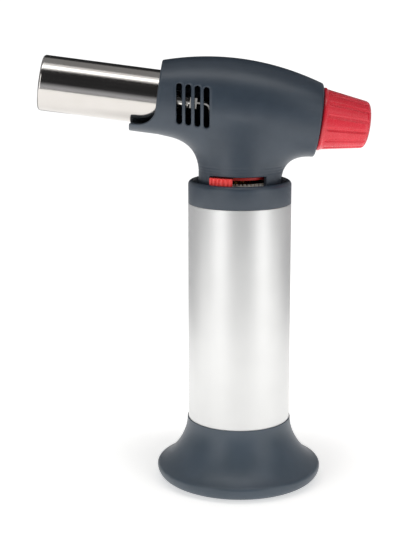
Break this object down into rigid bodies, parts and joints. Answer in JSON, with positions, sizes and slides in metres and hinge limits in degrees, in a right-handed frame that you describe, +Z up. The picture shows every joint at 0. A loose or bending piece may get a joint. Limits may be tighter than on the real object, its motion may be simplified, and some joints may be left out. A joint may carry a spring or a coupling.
{
  "type": "butane torch",
  "caption": "Free-standing refillable butane torch with a wide foot, tilted steel burner tube, twist ignition knob and flow lever.",
  "frame": {"origin": "centre of the foot's resting ring, on the tank's axis", "axes": "+Z up along the tank's axis, -X towards the side where the flame comes out, so +X points to the ignition knob"},
  "size_m": [0.14, 0.0712, 0.1842],
  "materials": {
    "foot_abs": "moulded matte slate-grey ABS",
    "head_abs": "moulded matte slate-grey ABS with a fine texture",
    "rubber": "soft moulded rubber",
    "sleeve_aluminium": "drawn tube, fine bead-blasted and clear anodised",
    "burner_steel": "polished stainless steel tube",
    "inner_steel": "turned stainless steel",
    "brass": "turned brass",
    "knob_abs": "moulded red ABS, satin",
    "lever_pom": "moulded red acetal",
    "natural_pom": "natural acetal, turned or moulded",
    "black_pbt": "moulded black PBT",
    "felt": "pressed felt tube",
    "ceramic": "glazed ceramic tube",
    "screw_steel": "zinc-plated steel"
  },
  "bodies": {
    "root": {"foot_shell": "foot_abs", "foot_plate": "foot_abs", "foot_ring": "rubber", "foot_screws": "screw_steel", "fuel_sleeve": "sleeve_aluminium", "fuel_tank": "natural_pom", "tank_cap": "natural_pom", "tank_seal": "rubber", "fuel_wick": "felt", "refill_valve": "brass", "refill_seal": "rubber", "refill_spring": "inner_steel", "collar": "head_abs", "head_shell_near": "head_abs", "head_shell_far": "head_abs", "head_screws": "screw_steel", "burner_tube": "burner_steel", "tube_retainer": "inner_steel", "mixing_tube": "brass", "flame_holder": "inner_steel", "gas_jet": "brass", "gas_pipe": "brass", "valve_body": "brass", "valve_seal": "rubber", "valve_spring": "inner_steel", "detent_ring": "natural_pom", "knob_bush": "natural_pom", "piezo_body": "black_pbt", "piezo_spring": "inner_steel", "ignition_wire": "rubber", "electrode": "inner_steel", "electrode_insulator": "ceramic"},
    "ignition_knob": {"ignition_knob": "knob_abs", "cam_sleeve": "natural_pom"},
    "piezo_plunger": {"piezo_plunger": "natural_pom"},
    "valve_stem": {"valve_stem": "inner_steel"},
    "flow_lever": {"flow_lever": "lever_pom", "regulator_nut": "brass"},
    "refill_stem": {"refill_stem": "inner_steel"}
  },
  "joints": [
    {"name": "knob_turn", "type": "hinge", "parent": "root", "child": "ignition_knob", "pos_m": [0, 0, 0.1617], "axis": [0.9914, 0, -0.1305], "range_deg": [0, 90]},
    {"name": "plunger_slide", "type": "slide", "parent": "root", "child": "piezo_plunger", "axis": [-0.9914, 0, 0.1305], "range_m": [0, 0.004], "deforming": ["piezo_spring"]},
    {"name": "stem_slide", "type": "slide", "parent": "root", "child": "valve_stem", "axis": [0, 0, -1], "range_m": [0, 0.0012], "deforming": ["valve_spring"]},
    {"name": "lever_turn", "type": "hinge", "parent": "root", "child": "flow_lever", "pos_m": [0, 0, 0.1325], "axis": [0, 0, 1], "range_deg": [0, 45]},
    {"name": "refill_push", "type": "slide", "parent": "root", "child": "refill_stem", "axis": [0, 0, 1], "range_m": [0, 0.0012], "stiffness_N_per_m": 400, "deforming": ["refill_spring"]}
  ],
  "couplings": [
    {"joint": "plunger_slide", "follows": "knob_turn", "m_per_rad": 0.0025462},
    {"joint": "stem_slide", "follows": "knob_turn", "m_per_rad": 0.00076387}
  ]
}
